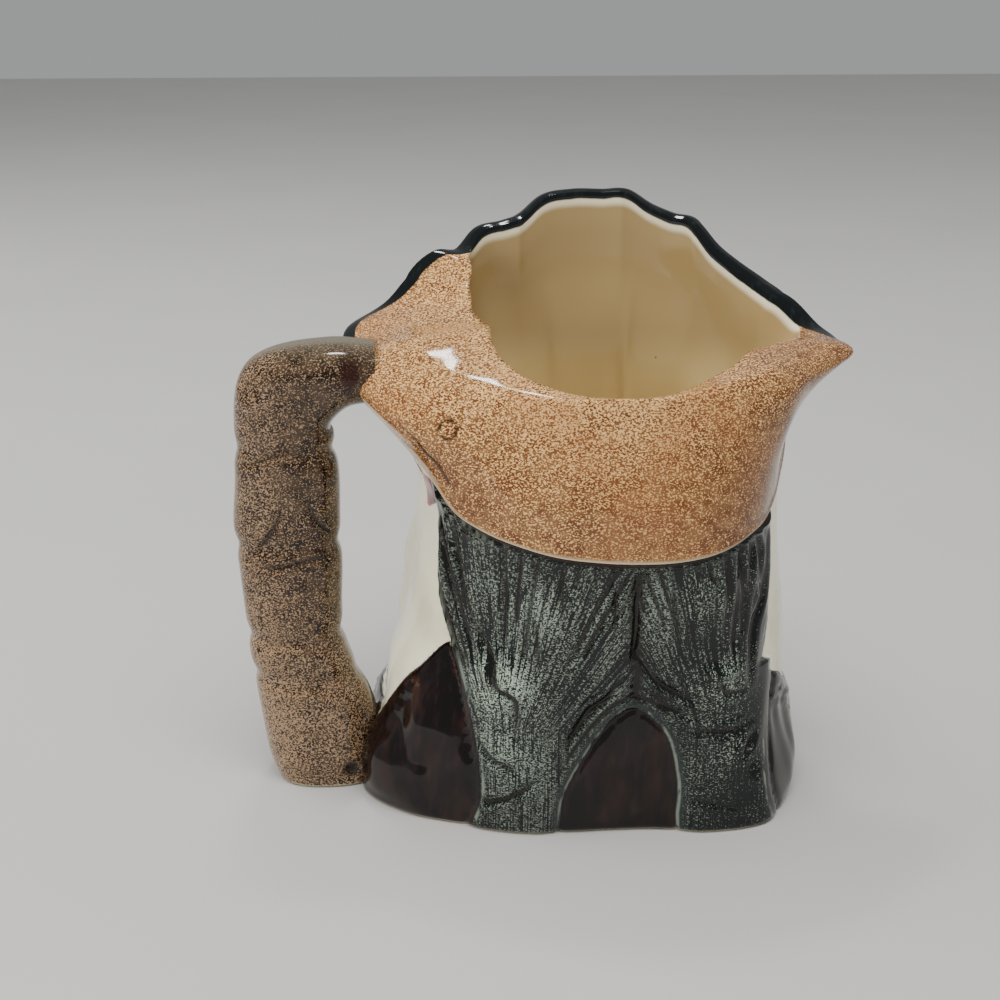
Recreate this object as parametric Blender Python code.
"""Toby jug: a hollow slip-cast earthenware jug in the shape of a figure, with its handle, as one solid.

The face looks along -Y, the handle is at +X and the spout at -X. The underside is flat and lies at Z = 0.
The body is a loft: closed loops run round the Z axis, from the underside up the outer wall, over the
rim, and down the inner wall to the inner floor. Lengths are in millimetres up to the last step.
"""
import math

import bmesh
import bpy
import numpy as np

MM = 0.001

# Sizes that can be set by themselves
HEIGHT = 174.0
WALL = 4.2
FLOOR = 7.0
FOOT_CORNER = 1.5
RELIEF = 3.4
HEM_RIDGE = 0.6
BRIM_FLUTE = 1.6
FACE_RELIEF = 1.25
HANDLE_THICKNESS = 31.0
HANDLE_DEPTH = 23.0
HANDLE_CREASE = 1.0

# The free form is drawn at this height, and follows HEIGHT in proportion
DRAWN_HEIGHT = 174.0
FORM = HEIGHT / DRAWN_HEIGHT

# Fineness of the mesh
COLUMNS = 92
HANDLE_SIDES = 18
HANDLE_RINGS = 25
FACE_CROWDING = 0.9
LEG_CROWDING = 0.35

# Outer wall, from the underside up: each loop lists (angle, radius, height). Angle 0 is the handle,
# 90 the back of the jug, 180 the spout and 270 the face.
FOOT = [(0, 68, 0), (15, 73, 0), (30, 67.5, 0), (45, 59, 0), (60, 54, 0), (75, 50, 0), (90, 48, 0),
        (105, 50, 0), (120, 58, 0), (134, 64.5, 0), (150, 63.5, 0), (165, 62, 0), (180, 63.5, 0),
        (200, 64, 0), (220, 62, 0), (240, 56, 0), (270, 50, 0), (300, 56, 0), (320, 63, 0), (340, 69, 0)]
COAT_LOW = [(0, 69, 12), (15, 72, 12), (30, 68.5, 12), (45, 60, 12), (60, 55, 12), (75, 51.5, 12),
            (90, 49, 12), (105, 51.5, 12), (120, 57, 12), (134, 63.5, 12), (150, 62.5, 12), (165, 61.5, 12),
            (180, 62.5, 12), (200, 63.5, 12), (220, 63, 12), (240, 57, 12), (270, 51.5, 12), (300, 57, 12),
            (320, 64, 12), (340, 70, 12)]
COAT_MID = [(0, 65, 24), (15, 67.5, 24), (30, 65.5, 24), (45, 58.5, 24), (60, 54, 24), (75, 51.5, 24),
            (90, 49.5, 24), (105, 51, 24), (120, 55, 24), (134, 59, 24), (150, 59, 24), (165, 59, 24),
            (180, 60, 24), (200, 61, 24), (220, 61.5, 24), (240, 56.5, 24), (270, 51, 24),
            (300, 56.5, 24), (320, 62.5, 24), (340, 67, 24)]
COAT_TOP = [(0, 63.5, 38), (15, 63, 38), (30, 60.5, 38), (45, 55.5, 38), (60, 52.5, 38), (75, 50.5, 38),
            (90, 49, 38), (105, 50, 38), (120, 52.5, 38), (134, 55, 38), (150, 57.5, 38), (165, 59, 38),
            (180, 60.6, 38), (200, 61, 38), (220, 58.5, 38), (240, 52.5, 38), (270, 47, 38),
            (300, 52.5, 38), (320, 58.5, 38), (340, 63, 38)]
NECK = [(0, 58.3, 53), (15, 57.5, 53), (30, 54.5, 53), (45, 52.5, 53), (60, 51, 53), (75, 49.5, 53),
        (90, 48.5, 53), (105, 49.5, 53), (120, 51, 53), (134, 53, 53), (150, 55, 53), (165, 57.5, 53),
        (180, 59.6, 53), (200, 59.5, 53), (220, 56, 53), (240, 49.5, 53), (270, 45, 53), (300, 49.5, 53),
        (320, 54.5, 53), (340, 57.8, 53)]
CHEEK = [(0, 54.8, 74), (15, 54.5, 74), (30, 52.5, 74), (45, 51.5, 74), (60, 50, 74), (75, 48.5, 74),
         (90, 48, 74), (105, 48.5, 74), (120, 50.5, 74), (134, 52, 74), (150, 53.5, 74), (165, 55.5, 74),
         (180, 56.8, 74), (200, 57, 76), (220, 54.5, 78), (240, 50, 80), (270, 47.5, 82), (300, 50, 80),
         (320, 53, 78), (340, 54.6, 76)]
HEM_ROOT = [(0, 52, 98), (15, 51.5, 94), (30, 51, 92), (45, 51.5, 88), (60, 50.5, 85.5), (75, 49, 83),
            (90, 48.5, 81.5), (105, 49, 81), (120, 51, 82), (134, 51.5, 84), (150, 52, 86.5),
            (165, 53.5, 92), (180, 56.5, 99), (200, 55, 107), (220, 51.5, 114), (240, 48.5, 118),
            (270, 47, 119.5), (300, 48.5, 118), (320, 51.5, 114), (340, 51.5, 106)]
HEM = [(0, 71, 121), (9, 66, 117), (19, 60, 109.5), (31, 57, 101), (39, 57, 95.8), (48, 55.7, 92.4),
       (61, 55, 89.4), (73, 53.5, 87), (84, 52.3, 85.8), (97, 52.4, 85), (109, 54, 84.9), (122, 55.6, 85.8),
       (136, 55.4, 88), (152, 54.6, 91), (165, 55.3, 99), (180, 57.6, 112), (200, 58, 115), (220, 56.5, 119),
       (240, 54, 121.5), (270, 52, 123), (300, 54, 121.5), (320, 58.5, 120), (340, 66.5, 119),
       (350, 71, 120)]
HAT = [(0, 73, 125), (15, 66.5, 117.5), (30, 60.5, 109.5), (45, 57.5, 104), (60, 55.5, 102),
       (75, 53.5, 101), (90, 52.5, 100), (105, 53.5, 100), (120, 55.5, 101), (135, 56.5, 103),
       (150, 56.5, 105.5), (165, 57, 112), (180, 59.4, 120), (190, 59.6, 122), (200, 60, 126),
       (220, 57.5, 133), (240, 54, 137), (270, 52, 139), (300, 54, 137), (320, 58.5, 133), (340, 69, 127)]
BRIM = [(0, 74.5, 130.5), (8, 73, 129), (15, 70.5, 126.5), (30, 63.5, 120.5), (45, 56.5, 117.5),
        (60, 51.5, 118.5), (75, 48.5, 120), (90, 47.5, 121), (105, 48.5, 121.5), (120, 51, 123),
        (135, 54.5, 125), (150, 60, 127), (165, 65, 129), (175, 73, 130), (180, 77.5, 131),
        (188, 73.5, 133.5), (194, 70, 136.5), (199, 66.7, 142.5), (209, 62.6, 148), (217, 59.2, 153),
        (223, 57.7, 157.5), (229, 56.4, 164.5), (238, 54.8, 166.5), (245, 53.9, 169), (253, 53, 173.6),
        (262, 52.3, 173.5), (273, 52, 173.5), (284, 52.6, 171.5), (291, 53.5, 166.5), (297, 54, 164.5),
        (306, 55.8, 162.5), (313, 57.3, 157), (320, 58.9, 157), (328, 64, 150.5), (333, 66.6, 144),
        (345, 75.5, 136.5), (352, 76, 133)]
# Flat of the brim inside its outer edge: (angle, width past the wall, rise of its middle, rise of the
# mouth's edge). It is broad over the handle, where the brim is closed, and along the spout.
SHELF = [(0, 38.3, 9, 10.9), (22, 28.8, 11.8, 14.8), (42, 16.1, 13.3, 17), (60, 6.9, 11.5, 13.5),
         (76, 3.1, 9.6, 9.7), (92, 2.3, 8.6, 8), (107, 2.7, 8.2, 7.5), (126, 6.4, 7.4, 6.9),
         (148, 11.9, 6.6, 6.8), (166, 15.1, 5, 6.3), (182, 13, 3.4, 4), (188, 5.8, 1.5, 1.5),
         (194, 0.8, 0.6, 0.2), (200, 0, 0.5, -0.3), (250, 0, 0.5, -0.3), (300, 0, 0.5, -0.3),
         (308, 0, 0.5, -0.3), (314, 2, 0, -0.3), (322, 10.2, -3, -4.5), (334, 22.5, 1.5, 2),
         (346, 34.8, 4.7, 6.5)]
DRAWN_LOOPS = [FOOT, COAT_LOW, COAT_MID, COAT_TOP, NECK, CHEEK, HEM_ROOT, HEM, HAT, BRIM]
HEM_PLACE = DRAWN_LOOPS.index(HEM)
BRIM_PLACE = DRAWN_LOOPS.index(BRIM)
OUTER_ROWS = [2, 2, 3, 3, 6, 7, 2, 2, 4, 2, 2]
SHELF_MIDDLE = 0.45
WIDE_SHELF = 8.0

# Levels of the inner wall, from below the lip down to the rounded corner of the floor
INNER_LEVELS = [0.95, 0.84, 0.68, 0.48, 0.26, 0.05]
INNER_LEAN = 0.45
SLOPE_SPAN = 2.0
INNER_ROWS = [1, 1, 1, 1, 1, 1, 1, 1, 1]
FLOOR_STEPS = [(0.94, 0.25), (0.82, 0.05), (0.45, 0.0)]
UNDERSIDE_STEPS = [0.93, 0.5]

# Dips between the lobes of the upright front brim, as angles
BRIM_DIPS = [186, 202, 228, 254.6, 293.5, 314.5, 329, 350]

# Back relief, as outlines seen from behind: (x, height)
BREECHES = [(49, 104), (48.4, 85), (47, 66.5), (44, 54), (40, 38), (37.7, 24.6), (36.8, 11), (38.7, -2),
            (18.3, -2), (14.9, 13.7), (7.8, 27.9), (0.7, 37.2), (-5.6, 40.8), (-12.4, 36.8),
            (-17.6, 28.7), (-20.3, 15.7), (-22.3, -2), (-47.4, -2), (-45.6, 12), (-46, 27),
            (-48, 41.5), (-49.8, 57.5), (-50, 73), (-49, 95)]
BREECHES_EDGE = 7.0
SEAM = [(-6.3, 79), (-5.5, 66), (-6.5, 52), (-5.6, 38)]
SEAM_WIDTH = 2.6
SEAM_DEPTH = 1.9
# Swellings of the seat and the knees: (x, height, half width, half height, rise)
LEG_SWELLINGS = [(29, 46, 11, 12, 0.9), (-31, 46, 11, 12, 0.9), (22, 70, 15, 9, 0.8), (-24, 70, 15, 9, 0.8)]
SWELLING_FADE = 6.0
# Distance from the middle over which relief fades in at the back and at the front
BACK_FADE = 12.0
FRONT_FADE = 14.0

# Top edge of the coat round the jug: (angle, height)
COAT_EDGE = [(0, 22), (12, 24), (15, 30), (23, 42.7), (31, 52.4), (40, 54), (60, 54), (90, 46), (120, 50),
             (142, 45), (150, 41.5), (159, 36.5), (175, 29), (190, 27), (220, 33), (245, 44), (270, 47),
             (295, 44), (320, 33), (345, 24)]
COAT_SWELL = 2.0
COAT_EDGE_WIDTH = 6.0
COAT_LUMP = 0.8
LUMP_WIDTH = 6.5
LUMP_HEIGHT = 8.0
LUMP_FADE = 10.0
FOOT_FADE = 6.0
LEG_GAP = 3.0
LEG_OVERLAP = 5.0

# Front relief: swellings (x, height, half width, half height, rise), each also at -x where x is not 0
FACE = [(0, 112, 24, 6, 1.2), (14, 104, 8, 5, -3.6), (13.5, 103, 5.4, 3.2, 2.8), (0, 101, 3.6, 9, 3.6),
        (0, 89.5, 4.8, 5.6, 5.0), (5.6, 87, 3.2, 3.0, 2.2), (19, 90, 9, 8, 2.4), (0, 78, 9, 2.4, 1.8),
        (0, 71.5, 7.2, 2.4, 2.0), (0, 74.9, 10, 1.2, -1.4), (0, 62, 10, 6, 4.2), (17, 68, 8, 7, 1.0)]
FACE_HALF_WIDTH = 33.0
FACE_MIDDLE = 91.0
FACE_HALF_HEIGHT = 38.0
CLOTH_RISE = 3.0
CLOTH_FOOT = 44.0
CLOTH_FADE = 8.0
FACE_CROWN = 1.5
JABOT = [(-9, 57), (9, 57), (13, 44), (15, 30), (9, 16), (-9, 16), (-15, 30), (-13, 44)]
JABOT_RISE = 2.6
JABOT_EDGE = 5.0
PLEAT_SPAN = 5.7
BUTTONS = [(24, 20), (24, 34)]
BUTTON_RADIUS = 3.2
BUTTON_RISE = 1.8
FRONT_FOOT_FADE = 10.0

# Handle: middle line in the XZ plane, as (x, height, share of the thickness, share of the depth)
HANDLE_PATH = [(66, 128.6, 0.54, 1.20), (78, 128, 0.66, 1.36), (91.4, 122, 0.99, 1.05),
               (93.4, 110.5, 0.97, 1.0), (93.0, 97, 1.01, 1.0), (93.6, 82, 1.04, 1.0),
               (92.9, 68, 1.01, 1.02), (92.6, 54, 0.96, 1.06), (91.5, 42, 0.98, 1.12),
               (88.0, 30, 1.12, 1.22), (85.6, 19, 1.17, 1.32), (84.3, 8, 1.13, 1.38), (83.0, 0.6, 1.04, 1.36)]
HANDLE_TILTS = [0, 18, 49, 82, 90, 90, 90, 90, 88, 84, 86, 90, 90]
HANDLE_CREASES = [106, 76.5, 47.5, 34]
HANDLE_CREASE_WIDTH = 3.0
HANDLE_MIDDLE_Y = 1.0
HANDLE_SQUARENESS = 2.6

GLAZE_COLOUR = (0.42, 0.27, 0.15, 1.0)
GLAZE_ROUGHNESS = 0.18


def smooth_curve(knots, values, at, slopes=None):
    """Values at the given places of a curve that passes smoothly through the knots."""
    if slopes is None:
        slopes = np.gradient(values, knots)
    index = np.clip(np.searchsorted(knots, at, side="right") - 1, 0, len(knots) - 2)
    span = knots[index + 1] - knots[index]
    t = (at - knots[index]) / span
    start = values[index] * (1 + 2 * t) * (1 - t) ** 2 + slopes[index] * span * t * (1 - t) ** 2
    end = values[index + 1] * t * t * (3 - 2 * t) + slopes[index + 1] * span * t * t * (t - 1)
    return start + end


def steady_slopes(values):
    """Slopes at evenly spaced knots that never carry the curve past its highest or lowest knot."""
    steps = np.diff(values)
    before = np.concatenate([steps[:1], steps])
    after = np.concatenate([steps, steps[-1:]])
    same_way = before * after > 0
    total = np.where(same_way, before + after, 1.0)
    return np.where(same_way, 2 * before * after / total, 0.0)


def round_curve(pairs, angles):
    """Values at the given angles of a closed curve through pairs of an angle in degrees and a value."""
    table = np.array(pairs, dtype=float)
    knots = np.concatenate([table[-3:, 0] - 360, table[:, 0], table[:3, 0] + 360])
    values = np.concatenate([table[-3:, 1], table[:, 1], table[:3, 1]])
    return smooth_curve(knots, values, np.asarray(angles, dtype=float) % 360)


def soft_step(value):
    """0 below 0, 1 above 1 and a smooth rise between."""
    t = np.clip(value, 0, 1)
    return t * t * (3 - 2 * t)


def round_edge(value):
    """0 below 0, 1 above 1 and a quarter-round rise between, as a pillow's edge."""
    t = np.clip(value, 0, 1)
    return np.sqrt(np.clip(1 - (1 - t) ** 2, 0, 1))


def inside_distance(x, z, outline):
    """Distance to a closed outline, positive inside it and negative outside."""
    nearest = np.full(np.shape(x), np.inf)
    inside = np.zeros(np.shape(x), dtype=bool)
    for (x0, z0), (x1, z1) in zip(outline, outline[1:] + outline[:1]):
        dx = x1 - x0
        dz = z1 - z0
        t = np.clip(((x - x0) * dx + (z - z0) * dz) / (dx * dx + dz * dz), 0, 1)
        nearest = np.minimum(nearest, np.hypot(x - x0 - t * dx, z - z0 - t * dz))
        crosses = (z0 > z) != (z1 > z)
        slope = dx / dz if dz else 0.0
        inside ^= crosses & (x < x0 + (z - z0) * slope)
    return np.where(inside, nearest, -nearest)


def line_distance(x, z, points):
    """Distance to an open line through the points."""
    nearest = np.full(np.shape(x), np.inf)
    for (x0, z0), (x1, z1) in zip(points, points[1:]):
        dx = x1 - x0
        dz = z1 - z0
        t = np.clip(((x - x0) * dx + (z - z0) * dz) / (dx * dx + dz * dz), 0, 1)
        nearest = np.minimum(nearest, np.hypot(x - x0 - t * dx, z - z0 - t * dz))
    return nearest


def swelling(x, z, middle_x, middle_z, half_width, half_height):
    """A round swelling that is 1 in its middle and fades out smoothly."""
    return np.exp(-((x - middle_x) / half_width) ** 2 - ((z - middle_z) / half_height) ** 2)


def brim_lobes(angles):
    """0 at each dip of the front brim and 1 at the middle of each lobe; 0 round the back."""
    lobes = np.zeros(np.shape(angles))
    for start, end in zip(BRIM_DIPS, BRIM_DIPS[1:]):
        share = np.clip((angles - start) / (end - start), 0, 1)
        lobes += np.sin(math.pi * share) ** 0.8
    return lobes


def column_angles(columns):
    """Angles round the jug, closer together over the face and the legs."""
    fine = np.linspace(0, 360, 3601)
    density = 1 + FACE_CROWDING * np.exp(-((fine - 270) / 28) ** 2)
    density += LEG_CROWDING * np.exp(-((fine - 90) / 45) ** 2)
    share = np.concatenate([[0], np.cumsum(0.5 * (density[1:] + density[:-1]))])
    return np.interp(np.arange(columns) / columns * share[-1], share, fine)


def outer_loops(angles):
    """Radius and height of the outer loops, each as an array of loop by angle, without relief."""
    radius = [round_curve([(a, r) for a, r, _ in loop], angles) * FORM for loop in DRAWN_LOOPS]
    height = [round_curve([(a, z) for a, _, z in loop], angles) * FORM for loop in DRAWN_LOOPS]
    width = WALL + np.maximum(round_curve([(a, w) for a, w, _, _ in SHELF], angles), 0) * FORM
    middle = round_curve([(a, m) for a, _, m, _ in SHELF], angles) * FORM
    edge = round_curve([(a, e) for a, _, _, e in SHELF], angles) * FORM
    radius += [radius[-1] - width * SHELF_MIDDLE, radius[-1] - width]
    height += [height[-1] + middle, height[-1] + edge]
    return np.array(radius), np.array(height)


def refine(loops, row_counts, steady=False):
    """Loops filled in with evenly spaced rows between them, and each row's place among the loops."""
    knots = np.arange(len(loops), dtype=float)
    places = [index + np.arange(count) / count for index, count in enumerate(row_counts)]
    places = np.concatenate(places + [[knots[-1]]])
    columns = [smooth_curve(knots, column, places, steady_slopes(column) if steady else None)
               for column in np.asarray(loops).T]
    return np.array(columns).T, places


def inner_loops(radius, height, mouth_r, mouth_z):
    """Loops of the inner wall and floor, set in from the outer wall by the wall's thickness."""
    loops_r = []
    loops_z = []
    for level in INNER_LEVELS:
        z = FLOOR + (mouth_z - FLOOR) * level
        outside = [np.array([np.interp(at, column_z, column_r) for at, column_z, column_r
                             in zip(z + step, height.T, radius.T)]) for step in (-SLOPE_SPAN, 0, SLOPE_SPAN)]
        slope = np.clip((outside[2] - outside[0]) / (2 * SLOPE_SPAN), -1, 1)
        lean = mouth_r + (mouth_z - z) * INNER_LEAN
        loops_r.append(np.minimum(outside[1] - WALL * np.hypot(1, slope), lean))
        loops_z.append(z)
    corner_r = loops_r[-1]
    corner_z = loops_z[-1] - FLOOR
    for share, lift in FLOOR_STEPS:
        loops_r.append(corner_r * share)
        loops_z.append(FLOOR + corner_z * lift)
    return loops_r, loops_z


def back_relief(x, y, z):
    """Rise of the breeches and their seam over the back of the jug."""
    legs = inside_distance(x, z, BREECHES)
    rise = RELIEF * soft_step((legs + BREECHES_EDGE / 3) / BREECHES_EDGE)
    seam = np.exp(-(line_distance(x, z, SEAM) / SEAM_WIDTH) ** 2)
    rise -= SEAM_DEPTH * seam * soft_step(legs / SEAM_WIDTH)
    for middle_x, middle_z, half_width, half_height, lift in LEG_SWELLINGS:
        swell = swelling(x, z, middle_x, middle_z, half_width, half_height)
        rise += lift * swell * soft_step(legs / SWELLING_FADE)
    return rise * soft_step(y / BACK_FADE)


def coat_relief(x, y, z, angles):
    """Rise of the coat's lumps over the body, below the coat's edge."""
    below = round_curve(COAT_EDGE, angles) - z
    swell = COAT_SWELL * round_edge(below / COAT_EDGE_WIDTH)
    lumps = COAT_LUMP * np.sin(x / LUMP_WIDTH + 1.2) * np.sin((z + y) / LUMP_HEIGHT)
    swell += lumps * soft_step(below / LUMP_FADE) * soft_step(z / FOOT_FADE)
    legs = inside_distance(x, z, BREECHES)
    behind = soft_step(y / BACK_FADE) * soft_step((legs + LEG_GAP) / LEG_OVERLAP)
    return swell * (1 - behind)


def front_relief(x, y, z):
    """Rise of the face, the cloth that frames it, the jabot and the coat's buttons."""
    share = np.hypot(x / FACE_HALF_WIDTH, (z - FACE_MIDDLE) / FACE_HALF_HEIGHT)
    rise = CLOTH_RISE * soft_step((share - 0.97) / 0.12) * soft_step((z - CLOTH_FOOT) / CLOTH_FADE)
    rise += FACE_CROWN * np.clip(1 - share * share, 0, 1)
    for middle_x, middle_z, half_width, half_height, lift in FACE:
        rise += FACE_RELIEF * lift * swelling(x, z, middle_x, middle_z, half_width, half_height)
        if middle_x:
            rise += FACE_RELIEF * lift * swelling(x, z, -middle_x, middle_z, half_width, half_height)
    jabot = inside_distance(x, z, JABOT)
    pleats = 1 + 0.18 * np.cos(x / PLEAT_SPAN * 2 * math.pi)
    rise += JABOT_RISE * round_edge(jabot / JABOT_EDGE) * pleats
    for side in (-1, 1):
        for button_x, button_z in BUTTONS:
            share = np.hypot(x - side * button_x, z - button_z) / BUTTON_RADIUS
            rise += BUTTON_RISE * np.sqrt(np.clip(1 - share * share, 0, 1))
    return rise * soft_step(-y / FRONT_FADE) * soft_step(z / FRONT_FOOT_FADE)


def body_grid(columns, outer_counts, inner_counts):
    """Rows of points from the middle of the underside round to the middle of the inner floor."""
    angles = column_angles(columns)
    loops_r, loops_z = outer_loops(angles)
    radius, places = refine(loops_r, outer_counts)
    height, _ = refine(loops_z, outer_counts, steady=True)
    wide = soft_step((loops_r[BRIM_PLACE] - loops_r[-1] - WALL) / (WIDE_SHELF * FORM))
    flat = wide * soft_step(places - BRIM_PLACE)[:, None]
    brim_share = soft_step((places - HEM_PLACE) / 1.5)[:, None] * (1 - flat)
    radius += BRIM_FLUTE * brim_lobes(angles) * brim_share

    turn = np.broadcast_to(angles, radius.shape)
    x = radius * np.cos(np.radians(turn)) / FORM
    y = radius * np.sin(np.radians(turn)) / FORM
    z = height / FORM
    rise = back_relief(x, y, z) + coat_relief(x, y, z, turn) + front_relief(x, y, z)
    rise *= soft_step(1.5 * (HEM_PLACE - 0.2 - places))[:, None]
    rise += HEM_RIDGE * np.exp(-((places - HEM_PLACE) / 0.3) ** 2)[:, None]
    corner = np.clip(1 - height / FOOT_CORNER, 0, 1)
    rise -= FOOT_CORNER * corner ** 2
    outside = radius + rise

    below_brim = places <= BRIM_PLACE
    inner_r, inner_z = inner_loops(radius[below_brim], height[below_brim], outside[-1], height[-1])
    inner_r, _ = refine([outside[-1]] + inner_r, inner_counts)
    inner_z, _ = refine([height[-1]] + inner_z, inner_counts, steady=True)

    under_r = [outside[0] * share for share in reversed(UNDERSIDE_STEPS)]
    under_z = [np.zeros(columns) for _ in UNDERSIDE_STEPS]
    rows_r = np.vstack(under_r + [outside, inner_r[1:]])
    rows_z = np.vstack(under_z + [height, inner_z[1:]])
    turn = np.radians(angles)
    return np.stack([rows_r * np.cos(turn), rows_r * np.sin(turn), rows_z], axis=-1)


def handle_grid(sides, rings):
    """Rows of points round the handle, from inside the brim down to its foot on the table."""
    path = np.array(HANDLE_PATH, dtype=float)
    knots = np.arange(len(path), dtype=float)
    places = np.linspace(0, knots[-1], rings)
    x = smooth_curve(knots, path[:, 0], places) * FORM
    z = smooth_curve(knots, path[:, 1], places) * FORM
    half_t = 0.5 * HANDLE_THICKNESS * smooth_curve(knots, path[:, 2], places)
    half_d = 0.5 * HANDLE_DEPTH * smooth_curve(knots, path[:, 3], places)
    tilt = np.radians(smooth_curve(knots, np.array(HANDLE_TILTS, dtype=float), places))
    crease = sum(np.exp(-((z / FORM - level) / HANDLE_CREASE_WIDTH) ** 2) for level in HANDLE_CREASES)
    half_t = half_t - HANDLE_CREASE * crease
    half_d = half_d - HANDLE_CREASE * crease
    around = np.arange(sides) * 2 * math.pi / sides
    power = 2.0 / HANDLE_SQUARENESS
    across = np.sign(np.cos(around)) * np.abs(np.cos(around)) ** power
    aside = np.sign(np.sin(around)) * np.abs(np.sin(around)) ** power
    out_x = np.sin(tilt)[:, None] * half_t[:, None] * across
    out_z = np.cos(tilt)[:, None] * half_t[:, None] * across
    y = HANDLE_MIDDLE_Y * FORM + half_d[:, None] * aside
    return np.stack([x[:, None] + out_x, y, z[:, None] + out_z], axis=-1)


def loft(name, grid):
    """A closed solid through rows of points, with a point in the middle of each end."""
    rows, columns = grid.shape[:2]
    mesh_data = bmesh.new()
    points = [[mesh_data.verts.new(point) for point in row] for row in grid * MM]
    ends = [mesh_data.verts.new(grid[index].mean(axis=0) * MM) for index in (0, -1)]
    for row in range(rows - 1):
        for column in range(columns):
            after = (column + 1) % columns
            corners = (points[row][column], points[row][after],
                       points[row + 1][after], points[row + 1][column])
            mesh_data.faces.new(corners)
    for column in range(columns):
        after = (column + 1) % columns
        mesh_data.faces.new((ends[0], points[0][after], points[0][column]))
        mesh_data.faces.new((ends[1], points[-1][column], points[-1][after]))
    bmesh.ops.recalc_face_normals(mesh_data, faces=mesh_data.faces)
    mesh = bpy.data.meshes.new(name)
    mesh_data.to_mesh(mesh)
    mesh_data.free()
    for polygon in mesh.polygons:
        polygon.use_smooth = True
    return bpy.data.objects.new(name, mesh)


def glaze_material():
    """Glossy lead glaze in the jug's main brown."""
    material = bpy.data.materials.new("brown_glaze")
    material.use_nodes = True
    shader = material.node_tree.nodes["Principled BSDF"]
    shader.inputs["Base Color"].default_value = GLAZE_COLOUR
    shader.inputs["Roughness"].default_value = GLAZE_ROUGHNESS
    shader.inputs["Metallic"].default_value = 0.0
    return material


def build():
    """The whole jug: the hollow body with the handle joined to it."""
    for existing in list(bpy.data.objects):
        bpy.data.objects.remove(existing, do_unlink=True)
    parts = bpy.data.collections.new("toby_jug_parts")
    cutters = bpy.data.collections.new("joined_shapes")
    bpy.context.scene.collection.children.link(parts)
    bpy.context.scene.collection.children.link(cutters)

    jug = loft("toby_jug", body_grid(COLUMNS, OUTER_ROWS, INNER_ROWS))
    parts.objects.link(jug)
    jug.data.materials.append(glaze_material())

    handle = loft("handle_shape", handle_grid(HANDLE_SIDES, HANDLE_RINGS))
    cutters.objects.link(handle)
    handle.hide_render = True
    handle.hide_set(True)

    union = jug.modifiers.new("join_handle", "BOOLEAN")
    union.operation = "UNION"
    union.solver = "EXACT"
    union.object = handle


build()
